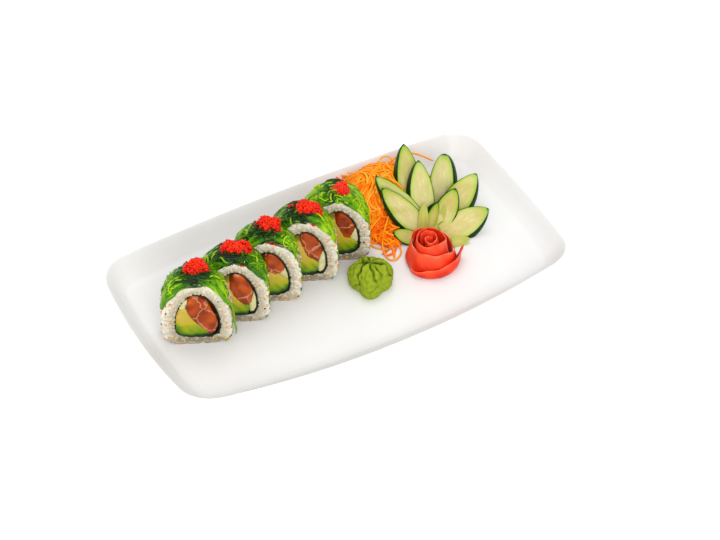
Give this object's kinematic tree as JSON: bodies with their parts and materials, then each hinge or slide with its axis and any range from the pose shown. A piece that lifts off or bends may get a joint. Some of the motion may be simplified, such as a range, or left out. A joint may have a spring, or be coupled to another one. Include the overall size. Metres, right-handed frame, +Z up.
{
  "type": "uramaki roll",
  "caption": "Inside-out sushi roll slices topped with seaweed salad and red roe, on a rectangular porcelain plate with carrot, cucumber flower, ginger rose and wasabi.",
  "frame": {"origin": "on the table, under the middle of the plate", "axes": "+X along the plate's length, towards the cucumber flower's end; +Y across it, away from the side the cut faces look to; +Z up"},
  "size_m": [0.2796, 0.1572, 0.068],
  "materials": {
    "porcelain": "white glazed porcelain, smooth and glossy, faint pooling of glaze in the corners",
    "rice": "steamed sushi rice, ivory white, moist and slightly translucent, pressed grains, with orange and dark specks",
    "nori": "toasted seaweed sheet, near-black green, damp",
    "salmon": "raw salmon, orange-brown flesh with thin pale fat lines, wet",
    "avocado": "ripe avocado, yellow at the heart to dark green at the skin side, buttery sheen",
    "cucumber_stick": "pale cucumber stick, olive cream, wet",
    "seaweed": "seaweed salad strands, lime green to dark green, glossy dressing",
    "roe": "red flying-fish roe, small glossy beads",
    "carrot": "raw carrot shreds, bright orange, damp",
    "cucumber": "cucumber slices, pale green flesh with a vivid green line inside dark green skin, wet",
    "ginger": "pickled ginger slices dyed coral red, thin, moist and slightly translucent",
    "wasabi": "wasabi paste, yellow green, matt and pasty"
  },
  "bodies": {
    "root": {"plate": "porcelain", "slice_1_rice": "rice", "slice_1_nori": "nori", "slice_1_salmon": "salmon", "slice_1_avocado": "avocado", "slice_1_cucumber_stick": "cucumber_stick", "slice_1_seaweed": "seaweed", "slice_1_roe": "roe", "slice_2_rice": "rice", "slice_2_nori": "nori", "slice_2_salmon": "salmon", "slice_2_avocado": "avocado", "slice_2_cucumber_stick": "cucumber_stick", "slice_2_seaweed": "seaweed", "slice_2_roe": "roe", "slice_3_rice": "rice", "slice_3_nori": "nori", "slice_3_salmon": "salmon", "slice_3_avocado": "avocado", "slice_3_cucumber_stick": "cucumber_stick", "slice_3_seaweed": "seaweed", "slice_3_roe": "roe", "slice_4_rice": "rice", "slice_4_nori": "nori", "slice_4_salmon": "salmon", "slice_4_avocado": "avocado", "slice_4_cucumber_stick": "cucumber_stick", "slice_4_seaweed": "seaweed", "slice_4_roe": "roe", "slice_5_rice": "rice", "slice_5_nori": "nori", "slice_5_salmon": "salmon", "slice_5_avocado": "avocado", "slice_5_cucumber_stick": "cucumber_stick", "slice_5_seaweed": "seaweed", "slice_5_roe": "roe", "cucumber_heart_left": "cucumber", "cucumber_heart_middle": "cucumber", "cucumber_heart_right": "cucumber", "cucumber_right_low": "cucumber", "cucumber_left_low": "cucumber", "cucumber_right_inner": "cucumber", "cucumber_right_high": "cucumber", "cucumber_middle": "cucumber", "cucumber_left_high": "cucumber", "cucumber_back_right": "cucumber", "cucumber_back_left": "cucumber", "cucumber_under_left": "cucumber", "cucumber_under_right": "cucumber", "carrot_nest": "carrot", "ginger_heart": "ginger", "ginger_collar": "ginger", "ginger_left_wrap": "ginger", "ginger_right_wrap": "ginger", "ginger_back_wrap": "ginger", "wasabi": "wasabi"}
  },
  "joints": []
}
